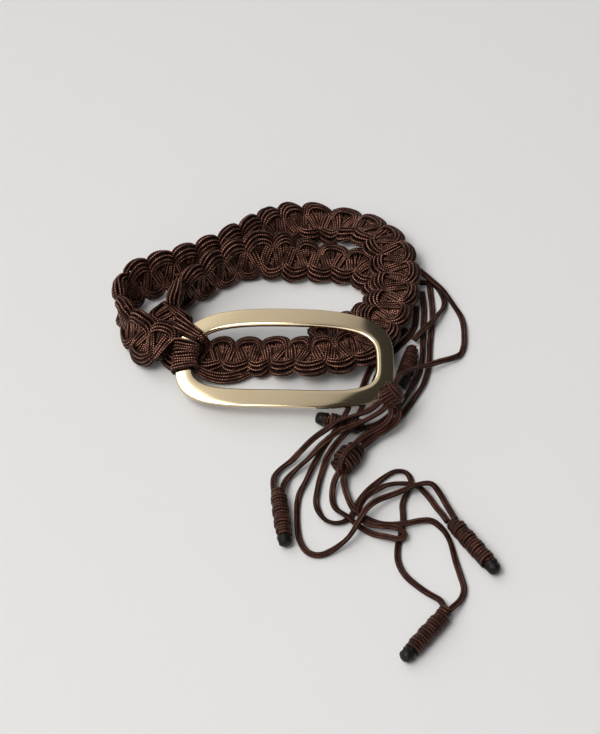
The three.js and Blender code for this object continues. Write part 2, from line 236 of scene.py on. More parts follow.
def mixNode(nodes, links, share, first, second):
    node = nodes.new("ShaderNodeMix")
    node.data_type = "RGBA"
    links.new(share, node.inputs[0])
    for slot, colour in ((6, first), (7, second)):
        if isinstance(colour, tuple):
            node.inputs[slot].default_value = (*colour, 1)
        else:
            links.new(colour, node.inputs[slot])
    return node.outputs[2]


def addBump(nodes, links, shader, height, strength, distance):
    bump = nodes.new("ShaderNodeBump")
    setInputs(bump, {"Strength": strength, "Distance": distance})
    links.new(height, bump.inputs["Height"])
    links.new(bump.outputs[0], shader.inputs["Normal"])


# colours are linear; crest is a painted copper highlight along each rib's crest and deep a painted shade on its far
# side; stitch is in mm, the two spans are places round a strand
braidLook = {
    "paintedShade": (0.0012, 0.0003, 0.0003), "body": (0.0095, 0.0017, 0.0010), "crest": (1.0, 0.47, 0.31),
    "stitch": 1.15, "gap": -0.6, "peak": 0.7, "slant": 9.0, "paintedGlintSpan": (0.073, 0.0), "paintedShadeSpan": (0.36, 0.12),
    "cloud": 210, "glintFade": (0.40, 0.62, 0.16, 1.0), "rough": 0.42, "bump": 0.9, "bumpDepth": 0.0002,
    "shader": {"Sheen Weight": 0.02, "Sheen Roughness": 0.4, "Sheen Tint": (0.85, 0.55, 0.45, 1),
               "Specular IOR Level": 0.30, "Specular Tint": (1.0, 0.60, 0.48, 1)},
}
# the tie cords get a dimmer painted copper highlight and keep the same painted shade
tieLook = {**braidLook, "crest": (0.46, 0.17, 0.10), "body": (0.0085, 0.0020, 0.0012), "stitch": 1.0, "gap": -1.3}


def braidMaterial(name, look):
    # brown silky braid: copper glints painted into the colour along each rib's crest, broken into stitches, and
    # painted shade on each rib's far side
    material, nodes, links, shader = newMaterial(name)
    uv = nodes.new("ShaderNodeUVMap")
    uv.uv_map = "strand"
    split = nodes.new("ShaderNodeSeparateXYZ")
    links.new(uv.outputs[0], split.inputs[0])
    length, around = split.outputs[0], split.outputs[1]
    turn = mathNode(nodes, links, "MULTIPLY", length, 2 * math.pi / look["stitch"])
    skew = mathNode(nodes, links, "MULTIPLY", around, look["slant"])
    wave = mathNode(nodes, links, "SINE", mathNode(nodes, links, "ADD", turn, skew))
    stitch = rangeNode(nodes, links, wave, (look["gap"], look["peak"]))
    # painted highlight mask: 1 on the crest, 0 down in the groove
    crest = rangeNode(nodes, links, around, look["paintedGlintSpan"], "SMOOTHSTEP")
    # painted shade mask: 0 on the side of each rib away from its crest, down in the groove and beneath, which is
    # darkened to near black
    paintedShadeMix = rangeNode(nodes, links, around, look["paintedShadeSpan"])
    # slow random change from strand to strand and along it, in how strong the painted highlight is and in the
    # roughness
    cloud = cloudNode(nodes, links, look["cloud"], 3)
    glintFade = rangeNode(nodes, links, cloud, look["glintFade"])
    bodyWithPaintedShade = mixNode(nodes, links, paintedShadeMix, look["paintedShade"], look["body"])
    # painted highlight: the crest mask broken into stitches, laid in the crest colour over the body
    glint = mathNode(nodes, links, "MULTIPLY", crest, stitch)
    glint = mathNode(nodes, links, "MULTIPLY", glint, glintFade)
    links.new(mixNode(nodes, links, glint, bodyWithPaintedShade, look["crest"]), shader.inputs["Base Color"])
    rough = rangeNode(nodes, links, cloud, (0, 1, look["rough"] + 0.12, look["rough"] - 0.08))
    links.new(rough, shader.inputs["Roughness"])
    addBump(nodes, links, shader, stitch, look["bump"], look["bumpDepth"])
    setInputs(shader, look["shader"])
    return material


bandBraid = braidMaterial("brown_braid_band", braidLook)
tieBraid = braidMaterial("brown_braid_tie", tieLook)
print("materials ready")


# width is the cord's own, laid is how wide it is drawn; lean in degrees, leanRun and the rest in mm
tieSize = {"width": 3.4, "laid": 3.1, "thick": 1.6, "step": 1.6, "into": 2.6, "lean": 40, "leanRun": 47}
# points along each cord in mm, listed one by one
tieRoutes = {
    "tie_cord_edge": [
        [74.5, 61, 0.85], [75, 52, 0.85], [75, 42, 0.85], [74, 32.5, 0.85], [73, 23, 0.85], [72.5, 14, 0.85],
        [71, 5, 0.85], [68.5, -3, 0.85], [65, -9.5, 0.85], [61.5, -15.5, 0.85], [57.5, -22, 0.85],
        [52, -27.5, 0.85], [46.5, -31.5, 0.85], [42, -35.5, 1.2], [39, -38, 2],
    ],
    "tie_cord_side_loop": [
        [71, 71, 2.9], [75.5, 65.5, 2.9], [80, 60, 3], [83.5, 53.5, 2.9], [87, 47.5, 1.5], [89.5, 43, 0.85],
        [90.5, 37, 0.85], [90.5, 30, 0.85], [90, 22.5, 0.85], [88, 17, 1.2], [83.5, 13, 2.5], [78, 10, 4],
        [72.5, 6.5, 6], [66.5, 2.5, 8.5], [61.5, -1.5, 10.8], [57.5, -5.5, 13], [54.5, -12.5, 16],
    ],
    "tie_cord_barrel_c": [
        [72, 66, 0.85], [76, 65, 0.85], [79.5, 60, 0.85], [81.5, 54, 0.85], [81, 48.5, 1.2], [77.5, 41.5, 2.9],
        [73.5, 34.5, 4.9], [69.5, 29.5, 5.3], [66.5, 26, 4.6],
    ],
    "tie_cord_barrel_a": [
        [70.5, 57, 0.85], [71, 48, 0.85], [70, 34, 0.85], [69.5, 24, 0.85], [69, 14, 0.85], [67, 5.5, 0.85],
        [64, -2.5, 1.8], [61, -10, 3.2], [57.5, -16.5, 3.2], [53.5, -21.5, 3.2], [49.5, -26, 3.3], [45, -29.5, 3.5],
        [41, -31.5, 4],
    ],
    "tie_cord_inner": [
        [67, 47, 0.85], [66, 37, 0.85], [63, 30, 0.85], [58, 23.5, 0.85], [53, 17, 0.85], [49, 10, 0.85],
        [45.5, 2, 0.85], [43, -7, 1.5], [41.5, -15.5, 5], [40, -18.5, 8.2], [36, -28.5, 9.7], [31, -38, 9.5],
        [25, -44, 6], [20.5, -50, 2.5], [18, -58, 1], [16, -67.5, 0.85], [15.5, -76.5, 0.85], [19.5, -85.5, 0.85],
        [25, -87.5, 0.85], [31, -84.5, 0.85], [34.5, -77, 0.85], [39.5, -69, 0.85], [47.5, -60.5, 0.85],
        [54, -56.5, 0.85], [59, -57.5, 0.85], [61, -62.5, 0.85], [59, -69, 0.85], [56.5, -75.5, 0.85],
        [56.5, -84, 0.85], [55.5, -92.5, 0.85], [53.5, -101, 0.85], [53.5, -109.5, 0.85], [56.5, -117, 0.85],
        [62, -123, 0.85], [67.5, -127.5, 0.85], [72, -131.5, 2], [73.5, -136, 4],
    ],
    "tie_cord_long_bight": [
        [59.8, 32.5, 0.85], [57.2, 29, 0.85], [54, 25, 0.85], [49, 18.5, 0.85], [44.5, 11.5, 0.85], [41, 3.5, 0.85],
        [38.5, -5, 1.5], [36, -14, 5], [33.5, -18.5, 8.2], [29.5, -29, 9.7], [25, -38, 9.2], [20, -44, 5.2],
        [15, -51.5, 2.2], [10.5, -62.5, 1.2], [7, -71.5, 0.85], [6.5, -90, 0.85], [8, -98.5, 0.85],
        [11.5, -104.5, 0.85], [17, -106, 0.85], [24, -103, 2.5], [30.5, -98.5, 5], [35, -91.5, 7.2],
        [38.5, -84, 7.2], [44, -78, 6], [51, -73, 4], [57.5, -70.5, 5], [64.5, -67.5, 5.2], [70.5, -66.5, 4.5],
        [74, -70.5, 3], [77, -77, 2.5], [80, -85, 4],
    ],
    "tie_cord_barrel_b_upper": [
        [47.5, -23, 14.2], [42.5, -27, 12.8], [37, -30, 12], [31, -32.5, 12], [25, -35.5, 12], [20, -39, 11],
        [14, -43, 8.5], [8, -48, 5.5], [3, -52, 2.8], [-1.5, -55.5, 1.5], [-4.4, -60, 2], [-5, -65.5, 3.5],
        [-4.7, -70, 4.2],
    ],
    "tie_cord_barrel_b_lower": [
        [48.3, -27.8, 13.4], [44, -31.2, 12.5], [38.5, -34.5, 12], [32.5, -37.5, 12], [27, -40.5, 12], [22, -44, 11],
        [16.5, -48, 8.5], [11.5, -52.5, 5.2], [6.5, -56, 2.5], [2.5, -60, 1.5], [0.9, -63, 2.5],
        [-0.1, -66.5, 3.8], [-0.7, -69.6, 4.1],
    ],
    "knot_link_left": [
        [51.5, -26.5, 14.3], [52, -29.5, 11.9], [50, -32.5, 9.3], [46, -35, 7.6], [40.5, -38.5, 7], [37, -41, 6.8],
    ],
    "knot_link_right": [
        [55, -24, 12.2], [56, -27, 9.5], [54.5, -31, 7], [49.5, -35, 5.3], [44.5, -38, 4.6], [40.5, -42, 4.6],
    ],
    "tie_cord_barrel_d": [
        [24.5, -64, 5], [23, -71.5, 1.5], [24.5, -78.5, 1], [29.5, -84.5, 3], [35.5, -90, 2.5], [41.5, -93.5, 1],
        [49, -97, 3], [54.5, -98, 3], [57.3, -95.8, 3.4], [53.5, -93, 5], [46, -92, 5], [39.5, -90.5, 5],
        [35.5, -84, 5], [38, -76.5, 5], [43.5, -69.5, 3], [49, -66.5, 3], [56.5, -65.5, 3], [64, -67, 3],
        [69, -72.5, 2], [72.5, -78, 1], [75, -83, 2.5], [76.5, -87, 4],
    ],
    "tie_cord_barrel_e": [
        [28.5, -62, 5], [29, -67, 2.5], [30.5, -74, 3], [33.5, -81, 3], [38.5, -85.5, 3], [45.5, -88.5, 2.5],
        [52.5, -89.3, 2.9], [58.5, -89, 3], [64.5, -87, 2], [70, -86, 0.85], [74.5, -90, 0.85], [78, -98, 0.85],
        [80, -107.5, 0.85], [82, -117, 0.85], [83.5, -125, 0.85], [81.5, -131.5, 2], [77.5, -137, 4],
    ],
}

# a last point inside the round knot, before the first or after the last one
insideKnot = {
    "tie_cord_barrel_d": ([27.6, -58.8, 6.6], None), "tie_cord_barrel_e": ([30.0, -57.0, 7.4], None),
    "knot_link_left": ([51.8, -23.4, 16.5], [34.0, -45.0, 7.4]),
    "knot_link_right": ([54.0, -22.0, 15.0], [35.6, -46.4, 5.4]),
    "tie_cord_side_loop": (None, [53.6, -17.5, 17.8]),
    "tie_cord_barrel_b_upper": ([50.5, -21.8, 16.2], None),
    "tie_cord_barrel_b_lower": ([50.6, -25.2, 15.2], None),
}
tiePieces = {}
tiePaths = {}
braidProfile, braidPlaces = flatBraid(tieSize["laid"], tieSize["thick"])
for name, route in tieRoutes.items():
    first, last = insideKnot.get(name, (None, None))
    route = ([first] if first else []) + route + ([last] if last else [])
    path = evenly(catmull(route, 10), tieSize["step"]) + drawingZero
    # both ends run on a little, into the knot that holds them
    head, tail = unit(path[0] - path[1]), unit(path[-1] - path[-2])
    path = np.vstack([path[0] + head * tieSize["into"], path, path[-1] + tail * tieSize["into"]])
    path = evenly(path, tieSize["step"])
    count = len(path)
    # the braid leans a little to one side and the other on its way
    share = np.linspace(0, 1, count)
    swings = share * count * tieSize["step"] / tieSize["leanRun"] + noise.rand()
    lean = np.radians(tieSize["lean"]) * np.sin(2 * math.pi * swings) * np.sin(math.pi * share)
    along = unit(np.gradient(path, axis=0))
    side = unit(np.stack([-along[:, 1], along[:, 0], np.zeros(count)], 1))
    up = np.cross(along, side)
    outward = up * np.cos(lean)[:, None] + side * np.sin(lean)[:, None]
    path = path + np.array([0, 0, 1]) * (np.abs(np.sin(lean)) * tieSize["laid"] * 0.4)[:, None]
    weaver = Weaver()
    weaver.strand(path, outward, braidProfile, braidPlaces)
    piece = weaver.build(name + "_braid", tieBraid)
    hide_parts(name)
    tiePieces[name], tiePaths[name] = piece, path * mm
print("tie cords laid")


# rib is the radius of a single strand, press the height over which it is pressed flat on the table
bandSize = {"width": 26.0, "thick": 7.0, "pitch": 13.0, "length": 160.0, "depth": 120.0, "rib": 0.80, "press": 0.6}
# x and y in percent, lift in thicknesses, roll in degrees
bandCourse = [
    (-36.2, 8.8, 1.13, 170), (-38.9, 10.4, 0.6, 152), (-42.4, 13.4, 0.05, 131), (-46.4, 18.6, 0, 112),
    (-49.7, 25.4, 0, 95), (-51, 32.9, 0, 80), (-49.8, 40.6, 0, 72), (-45.4, 46.7, 0, 70),
    (-38.8, 51.3, 0, 72), (-31.9, 55, 0, 74), (-25, 59.4, 0, 74), (-18.1, 64.6, 0, 71),
    (-11.3, 70.4, 0, 60), (-4.4, 77.3, 0, 40), (2.5, 83.4, 0, 23), (8.8, 86.7, 0, 9),
    (16.9, 86.7, 0, 0), (24.4, 82.1, 0.3, -8), (30.3, 74.2, 0.65, -10), (33.8, 64.2, 0.97, -5),
    (35.2, 54.2, 1.05, 0), (35, 44.2, 1.05, 0), (33.1, 34.2, 1.05, 0), (29.1, 22.5, 1.05, 0),
    (23.4, 12, 1.05, 0), (16.9, 8.3, 1.05, 0), (9.4, 6.9, 1.05, 0), (1.9, 8.8, 0.6, 0),
    (-5.6, 11.3, 0.1, 0), (-13.8, 11.3, 0, 0), (-21.9, 11.3, 0, 0), (-28.8, 12.2, 0, 0),
    (-32.4, 15.2, 0, 0), (-35, 20.6, 0, -4), (-36.8, 27.3, 0, -24), (-36.2, 34.2, 0, -62),
    (-33, 40, 0, -86), (-27.8, 45.2, 0, -97), (-20.8, 53.6, 0, -102), (-13.8, 58.8, 0, -108),
    (-6.9, 62.4, 0, -126), (0.6, 63.8, 0, -156), (6.3, 64.1, 0, -166), (12, 64.2, 0, -177),
    (18, 63.6, 0, -180), (25, 60.8, 0, -180), (30, 56, 0, -180), (32.5, 49, 0, -180),
    (32.5, 40.8, 0, -180), (29.4, 34.2, 0, -180), (25, 28.8, 0, -180), (20, 25, 0, -180),
    (14.4, 21.9, 0, -180), (8.8, 19.4, 0, -180),
]


def bandFrames():
    rows = np.array(bandCourse, float)
    roll = np.radians(rows[:, 3])
    half = bandSize["width"] / 2 * np.abs(np.sin(roll)) + bandSize["thick"] / 2 * np.abs(np.cos(roll))
    places = np.stack([rows[:, 0] / 100 * bandSize["length"], rows[:, 1] / 100 * bandSize["depth"],
                       rows[:, 2] * bandSize["thick"] + half], 1)
    per = 24
    line = catmull(places, per)
    step = np.arange(len(line)) / per
    index = np.minimum(step.astype(int), len(rows) - 2)
    t = step - index
    t = t * t * (3 - 2 * t)
    angle = roll[index] * (1 - t) + roll[index + 1] * t
    along = unit(np.gradient(line, axis=0))
    outward = unit(np.stack([-along[:, 1], along[:, 0], np.zeros(len(line))], 1))
    up = np.cross(along, outward)
    across = outward * np.cos(angle)[:, None] + up * np.sin(angle)[:, None]
    face = np.cross(along, across)
    return {"run": lengths(line), "line": line + drawingZero, "across": across, "face": face, "along": along}


bandLine = bandFrames()
bandEnd = bandLine["run"][-1]
knotCount = int(round(bandEnd / bandSize["pitch"]))
truePitch = bandEnd / knotCount
print("band", round(bandEnd, 1), "mm", knotCount, "knots")


def onBand(s, w, h):
    # s in mm along the band, w across it, h through its thickness
    s = np.asarray(s, float)
    inside = np.clip(s, 0, bandEnd)

    def pick(table):
        return np.stack([np.interp(inside, bandLine["run"], table[:, k]) for k in range(3)], 1)
    across, face, along = (unit(pick(bandLine[key])) for key in ("across", "face", "along"))
    point = pick(bandLine["line"]) + across * w[:, None] + face * h[:, None] + along * (s - inside)[:, None]
    # what would sink into the table is pressed flat on it
    rest, soft = bandSize["rib"] + 0.05, bandSize["press"]
    high = point[:, 2]
    point[:, 2] = np.where(high < rest + soft, rest + soft * np.exp((high - rest - soft) / soft), high)
    return point, across, face, along


# mm across the band; tilts and span in degrees; valley is where a bow's ends meet the next ones
archShape = {
    "half": 6.75, "valley": 6.0, "crests": (12.3, 10.7, 8.9, 7.1), "lifts": (0.7, 2.2, 3.2, 3.4),
    "tilts": (15, 48, 72, 85), "span": 104, "points": 15, "shorter": 0.5, "inward": 0.9, "tuck": 1.6, "twist": 0.7,
    "endBack": 5.4,
}
ribProfile, ribPlaces = roundRib(bandSize["rib"], 7)


def addArch(weaver, centre, edge, faceSide):
    # four ribs side by side in a bow that stands out on one edge, pinched where its ends dive
    shape = archShape
    size = random.uniform(0.97, 1.05)
    slide = random.uniform(-0.35, 0.35)
    skew = random.uniform(-0.15, 0.15)
    sag = random.uniform(-0.5, 0.3)
    plump = random.uniform(0.9, 1.1)
    turn = np.radians(np.linspace(-shape["span"], shape["span"], shape["points"]))
    bow = np.cos(np.clip(turn, -math.pi / 2, math.pi / 2))
    past = np.clip(np.abs(turn) - 1.25, 0, 1) / 0.56
    dive = np.clip((np.abs(turn) - 0.62) / 1.15, 0, 1)
    for k in range(4):
        crest = shape["crests"][k] + sag * (0.25 if k == 0 else 0.6) + random.uniform(-0.15, 0.15)
        tilt = math.radians(shape["tilts"][k])
        foot = shape["valley"] - shape["inward"] * k
        s = centre + slide + (shape["half"] - shape["shorter"] * k) * size * np.sin(turn + skew * bow)
        w = foot + (crest - foot) * bow ** 0.85 - shape["tuck"] * past
        h = plump * shape["lifts"][k] * (1 - 0.95 * dive ** 1.4) - shape["twist"] * np.sin(turn) * bow
        point, across, face, along = onBand(s, edge * w, faceSide * (h + random.uniform(-0.12, 0.12)))
        outwards = along * np.sin(turn)[:, None] + across * (edge * (0.25 + np.cos(turn)))[:, None]
        outward = unit(outwards) * math.cos(tilt) + face * (faceSide * math.sin(tilt))
        weaver.strand(point, outward, ribProfile, ribPlaces)


crossShape = {"swing": 7.2, "height": 1.9, "spread": 1.45, "points": 15, "over": 0.06, "fanned": 0.55, "endGap": 0.4}


def addCross(weaver, start, direction, faceSide):
    # four ribs that cross the middle from one edge to the other, in half a knot
    shape = crossShape
    lean = random.uniform(-0.9, 0.9)
    bulge = random.uniform(-0.3, 0.3)
    t = np.linspace(-shape["over"], 1 + shape["over"], shape["points"])
    arc = np.sin(math.pi * np.clip(t, 0, 1))
    for k in (-1.5, -0.5, 0.5, 1.5):
        w = direction * shape["swing"] * np.cos(math.pi * np.clip(t, -0.05, 1.05)) * (1 + 0.04 * k)
        s = start + truePitch / 2 * t + k * shape["spread"] * (0.75 + 0.25 * np.sin(math.pi * t)) \
            + lean * (t - 0.5) + random.uniform(-0.25, 0.25)
        s = np.minimum(s, bandEnd - shape["endGap"])
        h = (shape["height"] + bulge) * arc ** 0.7 - 0.3 + shape["fanned"] * k * (1 - 2 * t) + random.uniform(-0.25, 0.25)
        point, across, face, along = onBand(s, w, faceSide * h)
        weaver.strand(point, face * faceSide, ribProfile, ribPlaces)


# foot, reach and depth in mm from the band's middle; apart is the spacing at the foot, wider what it gains
fanShape = {"foot": 1.2, "reach": 9.2, "apart": 0.8, "wider": 0.85, "depth": 0.1, "crown": 0.5, "points": 7}


def addFan(weaver, centre, edge, faceSide):
    # short ribs that fan out under a bow, seen in its hollow
    shape = fanShape
    t = np.linspace(0, 1, shape["points"])
    for k in (-1.5, -0.5, 0.5, 1.5):
        w = shape["foot"] + shape["reach"] * t
        s = centre + k * (shape["apart"] + shape["wider"] * t) + random.uniform(-0.3, 0.3)
        h = shape["depth"] + shape["crown"] * np.sin(math.pi * (0.25 + 0.62 * t)) + random.uniform(-0.35, 0.35)
        point, across, face, along = onBand(s, edge * w, faceSide * h)
        weaver.strand(point, face * faceSide, ribProfile, ribPlaces)


# phases are shares of a knot; cores in mm across the band
knotLook = {"bows": ((1, 0.42), (-1, 0.92)), "crosses": ((1, -0.08), (-1, 0.42)), "cores": (-5.4, -2.7, 0, 2.7, 5.4)}
archWeaver, crossWeaver, innerWeaver = Weaver(), Weaver(), Weaver()
for knot in range(knotCount):
    for faceSide in (1, -1):
        for edge, phase in knotLook["bows"]:
            # the last bow is drawn back on to the band's end
            centre = min((knot + phase) * truePitch, bandEnd - archShape["endBack"])
            addArch(archWeaver, centre, edge, faceSide)
            addFan(innerWeaver, centre, edge, faceSide)
        for direction, phase in knotLook["crosses"]:
            addCross(crossWeaver, (knot + phase) * truePitch, direction, faceSide)
# straight cords in the middle, which the others are knotted round
coreProfile, corePlaces = roundRib(1.3, 6)
coreRun = np.linspace(0, bandEnd, knotCount * 5)
for w in knotLook["cores"]:
    point, across, face, along = onBand(coreRun, np.full(len(coreRun), w), 0.3 * np.sin(coreRun))
    innerWeaver.strand(point, face, coreProfile, corePlaces)
bandArches = archWeaver.build("band_edge_loops", bandBraid)
bandCrosses = crossWeaver.build("band_middle_cords", bandBraid)
bandInner = innerWeaver.build("band_inner_cords", bandBraid)
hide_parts("knotted_band")
print("band knotted")


buckleSize = {
    "length": 107.5, "height": 54.5, "longBar": 9.3, "sideBar": 8.4, "thick": 2.6, "bevel": 0.6, "arch": 5.0,
    "crown": 0.8, "flare": 0.02, "top": 20.0, "tilt": 12.0, "lean": 2.4, "turn": -2.4, "shift": 0.4,
}


def oblong(halfLength, halfHeight, fullness, angle):
    c, s = np.cos(angle), np.sin(angle)
    x = halfLength * np.sign(c) * np.abs(c) ** (2 / fullness)
    y = halfHeight * np.sign(s) * np.abs(s) ** (2 / fullness)
    return np.stack([x * (1 - buckleSize["flare"] * y / halfHeight), y], -1)


def outerEdge(angle):
    return oblong(buckleSize["length"] / 2, buckleSize["height"] / 2, 3.3, angle)


def innerEdge(angle):
    b = buckleSize
    return oblong(b["length"] / 2 - b["sideBar"], b["height"] / 2 - b["longBar"], 3.6, angle)


def onDome(flat, depth):
    # flat x and y lifted on to the arched face, then sunk by depth along its normal
    b = buckleSize
    x, y = flat[..., 0], flat[..., 1]
    z = -b["arch"] * (2 * x / b["length"]) ** 2 - b["crown"] * (2 * y / b["height"]) ** 2
    slopes = [8 * b["arch"] * x / b["length"] ** 2, 8 * b["crown"] * y / b["height"] ** 2, np.ones_like(x)]
    return np.stack([x, y, z], -1) - unit(np.stack(slopes, -1)) * np.asarray(depth)[..., None]


def turned(angle, axis):
    c, s = math.cos(math.radians(angle)), math.sin(math.radians(angle))
    return {"x": np.array([[1, 0, 0], [0, c, -s], [0, s, c]]), "y": np.array([[c, 0, s], [0, 1, 0], [-s, 0, c]]),
            "z": np.array([[c, -s, 0], [s, c, 0], [0, 0, 1]])}[axis]


buckleTurn = turned(buckleSize["tilt"], "x") @ turned(-buckleSize["lean"], "y") @ turned(buckleSize["turn"], "z")
bucklePlace = np.array([0, buckleSize["shift"], buckleSize["top"]]) + drawingZero


def placeBuckle(points):
    return points @ buckleTurn.T + bucklePlace


def buckleStations(count):
    # angles spread evenly by distance round the outline
    angle = np.linspace(0, 2 * math.pi, 20001)
    edge = outerEdge(angle)
    run = lengths(edge)
    return np.interp(np.arange(count) / count * run[-1], run, angle)


# (distance from the edge, depth) in mm down the outer side, then shares of the face, then the inner side
buckleSection = {
    "outer": ((0.35, 2.6), (0.0, 2.3), (0.0, 0.7), (0.03, 0.38), (0.12, 0.17), (0.28, 0.05), (0.5, 0.0)),
    "face": (0.25, 0.5, 0.75), "swell": 0.12,
    "inner": ((0.9, 0.0), (0.5, 0.22), (0.15, 0.5), (0.0, 0.8), (0.0, 2.3), (0.35, 2.6)), "stations": 420,
}


def makeBuckle(material):
    angle = buckleStations(buckleSection["stations"])
    count = len(angle)
    outer, inner = outerEdge(angle), innerEdge(angle)
    across, wide = unit(inner - outer), np.linalg.norm(inner - outer, axis=1)
    section = [(outer + across * d, z) for d, z in buckleSection["outer"]]
    section += [(outer + across * (wide * share)[:, None], -buckleSection["swell"] * math.sin(math.pi * share))
                for share in buckleSection["face"]]
    section += [(inner - across * d, z) for d, z in buckleSection["inner"]]
    rings = np.stack([onDome(flat, np.full(count, z)) for flat, z in section], 1)
    points = placeBuckle(rings.reshape(-1, 3)) * mm
    k = len(section)
    faces = []
    for r in range(count):
        here, beyond = r * k, (r + 1) % count * k
        faces += [(here + i, beyond + i, beyond + (i + 1) % k, here + (i + 1) % k) for i in range(k)]
    piece = addObject("polished_buckle", plainMesh("polished_buckle", points.tolist(), faces, material))
    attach(piece, "root")
    return piece


buckleLook = {
    "gold": (0.76, 0.60, 0.365), "worn": (0.80, 0.65, 0.425), "cloud": 55, "lines": (60, 2600, 2600),
    "rough": (0.035, 0.125), "bump": 0.012, "bumpDepth": 0.0001,
}


def buckleMaterial(look):
    material, nodes, links, shader = newMaterial("pale_gold_metal")
    tone = mixNode(nodes, links, cloudNode(nodes, links, look["cloud"], 4), look["gold"], look["worn"])
    links.new(tone, shader.inputs["Base Color"])
    # fine polishing lines along the long bars
    place = nodes.new("ShaderNodeTexCoord")
    stretch = nodes.new("ShaderNodeMapping")
    stretch.inputs["Scale"].default_value = look["lines"]
    links.new(place.outputs["Object"], stretch.inputs["Vector"])
    lines = nodes.new("ShaderNodeTexNoise")
    setInputs(lines, {"Scale": 1, "Detail": 2})
    links.new(stretch.outputs[0], lines.inputs["Vector"])
    links.new(rangeNode(nodes, links, lines.outputs[0], (0, 1, *look["rough"])), shader.inputs["Roughness"])
    addBump(nodes, links, shader, lines.outputs[0], look["bump"], look["bumpDepth"])
    setInputs(shader, {"Metallic": 1})
    return material


buckle = makeBuckle(buckleMaterial(buckleLook))
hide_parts("buckle_frame")
print("buckle made")


# from, gapFrom, gapTo and to in degrees round the buckle; the others in mm, wrap in degrees round the bar
barLoops = {
    "from": 147.5, "gapFrom": 163.0, "gapTo": 166.5, "to": 186.5, "step": 1.62, "clear": 1.25, "wrap": 186, "wander": 0.25,
}


def makeBarLoops():
    weaver = Weaver()
    thick = buckleSize["thick"]
    gapFrom, gapTo = math.radians(barLoops["gapFrom"]), math.radians(barLoops["gapTo"])
    angle = np.radians(np.linspace(barLoops["from"], barLoops["to"], 600))
    run = lengths((outerEdge(angle) + innerEdge(angle)) / 2)
    for at in np.arange(0, run[-1], barLoops["step"]):
        a = np.interp(at, run, angle)
        if gapFrom < a < gapTo:
            continue
        outer, inner = outerEdge(np.array([a]))[0], innerEdge(np.array([a]))[0]
        across = unit(inner - outer)
        g = barLoops["clear"] + random.uniform(-0.15, 0.2)
        left, right = outer - across * (g + 0.2), inner + across * g
        centre, half = (left + right) / 2, np.linalg.norm(right - left) / 2
        # a loop with a flat top and flat sides, closed beneath the bar
        turn = np.radians(np.linspace(-215, 215, 45))
        x = half * np.clip(np.sin(turn) * 1.18, -1, 1)
        z = -thick / 2 + (thick / 2 + g) * np.clip(np.cos(turn) * 1.25, -1, 1)
        keep = np.abs(turn) < math.radians(barLoops["wrap"])
        path = evenly(catmull(np.stack([x[keep], z[keep]], 1)[::2], 6), 1.2)
        slide = np.array([-across[1], across[0]])
        wander = barLoops["wander"] * np.sin(path[:, 0] * 0.3 + random.uniform(0, 6))
        points = placeBuckle(onDome(centre + across * path[:, :1] + slide * wander[:, None], -path[:, 1]))
        heart = placeBuckle(onDome(centre[None], np.array([thick / 2])))[0]
        weaver.strand(points, unit(points - heart), ribProfile, ribPlaces)
        if a < gapFrom:
            # and on from the bar's top to the band's first knot
            t = np.linspace(0, 1, 8)
            x = half * 0.75 - (half * 1.75 + random.uniform(6.0, 8.5)) * t
            z = g + 0.9 - 0.2 * (2 * t - 1) ** 2 - 3.6 * np.clip(t - 0.6, 0, 1) ** 1.5
            flat = centre + across * x[:, None] + slide * (0.9 * t[:, None] ** 2)
            weaver.strand(placeBuckle(onDome(flat, -z)), np.tile(buckleTurn[:, 2], (8, 1)), ribProfile, ribPlaces)
    return weaver


barWeaver = makeBarLoops()
# slack cords that run from the bar along the front band's lower edge
floatRoutes = [
    [[-43.7, 2.2, 10.8], [-37.9, 1.5, 7.4], [-31.0, 1.2, 5.6], [-23.1, 2.7, 5.6], [-16.6, 6.4, 5]],
    [[-43.7, 1.0, 10.2], [-37.8, 0.2, 6.6], [-31.0, -0.1, 4.7], [-23.0, 1.4, 4.6], [-16.4, 5.2, 4.4]],
    [[-43.7, -0.3, 9.5], [-37.8, -1.0, 5.6], [-30.9, -1.3, 3.7], [-23.0, 0.2, 3.6], [-16.1, 4.1, 3.6]],
    [[-43.7, -1.4, 8.8], [-37.8, -2.0, 4.6], [-30.9, -2.2, 2.5], [-23.0, -0.8, 2.4], [-15.9, 3.2, 2.6]],
]
for route in floatRoutes:
    path = evenly(catmull(route, 10), 1.2) + drawingZero
    up = np.tile(np.array([0, -0.6, 0.8]), (len(path), 1))
    barWeaver.strand(path, up, ribProfile, ribPlaces)
barCords = barWeaver.build("bar_loops", bandBraid)
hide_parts("bar_wrap")


# all in mm; tipRows are (distance past the wraps, radius)
barrelSize = {
    "radius": 4.2, "tip": 5.0, "wrap": 3.45, "inset": 0.85, "margin": 2.2, "core": 2.5, "ring": 20,
    "tipRows": ((-1.6, 2.9), (-0.9, 3.2), (0.0, 3.3), (1.0, 3.25), (2.0, 3.2), (2.9, 3.05), (3.8, 2.7),
                (4.5, 2.0), (4.8, 1.0)),
    "tipBack": -1.3, "tipEnd": 4.9,
}
# x, y, heading in degrees, length
barrels = {
    "barrel_knot_a": (38.8, -31.9, 165, 24.5), "barrel_knot_b": (-2.7, -70.6, -83.5, 32),
    "barrel_knot_c": (64.6, 18, -108, 25.5), "barrel_knot_d": (79.4, -88.6, -55.5, 35),
    "barrel_knot_e": (75, -139.2, -129, 33.5),
}
tipLook = {"dark": (0.0018, 0.0013, 0.0012), "brown": (0.011, 0.005, 0.004), "cloud": 700, "bump": 0.8, "bumpDepth": 0.0008}


def tipMaterial(look):
    material, nodes, links, shader = newMaterial("sealed_cord_end")
    cloud = cloudNode(nodes, links, look["cloud"])
    links.new(mixNode(nodes, links, cloud, look["dark"], look["brown"]), shader.inputs["Base Color"])
    addBump(nodes, links, shader, cloud, look["bump"], look["bumpDepth"])
    setInputs(shader, {"Roughness": 0.48, "Specular IOR Level": 0.25})
    return material


sealedTip = tipMaterial(tipLook)


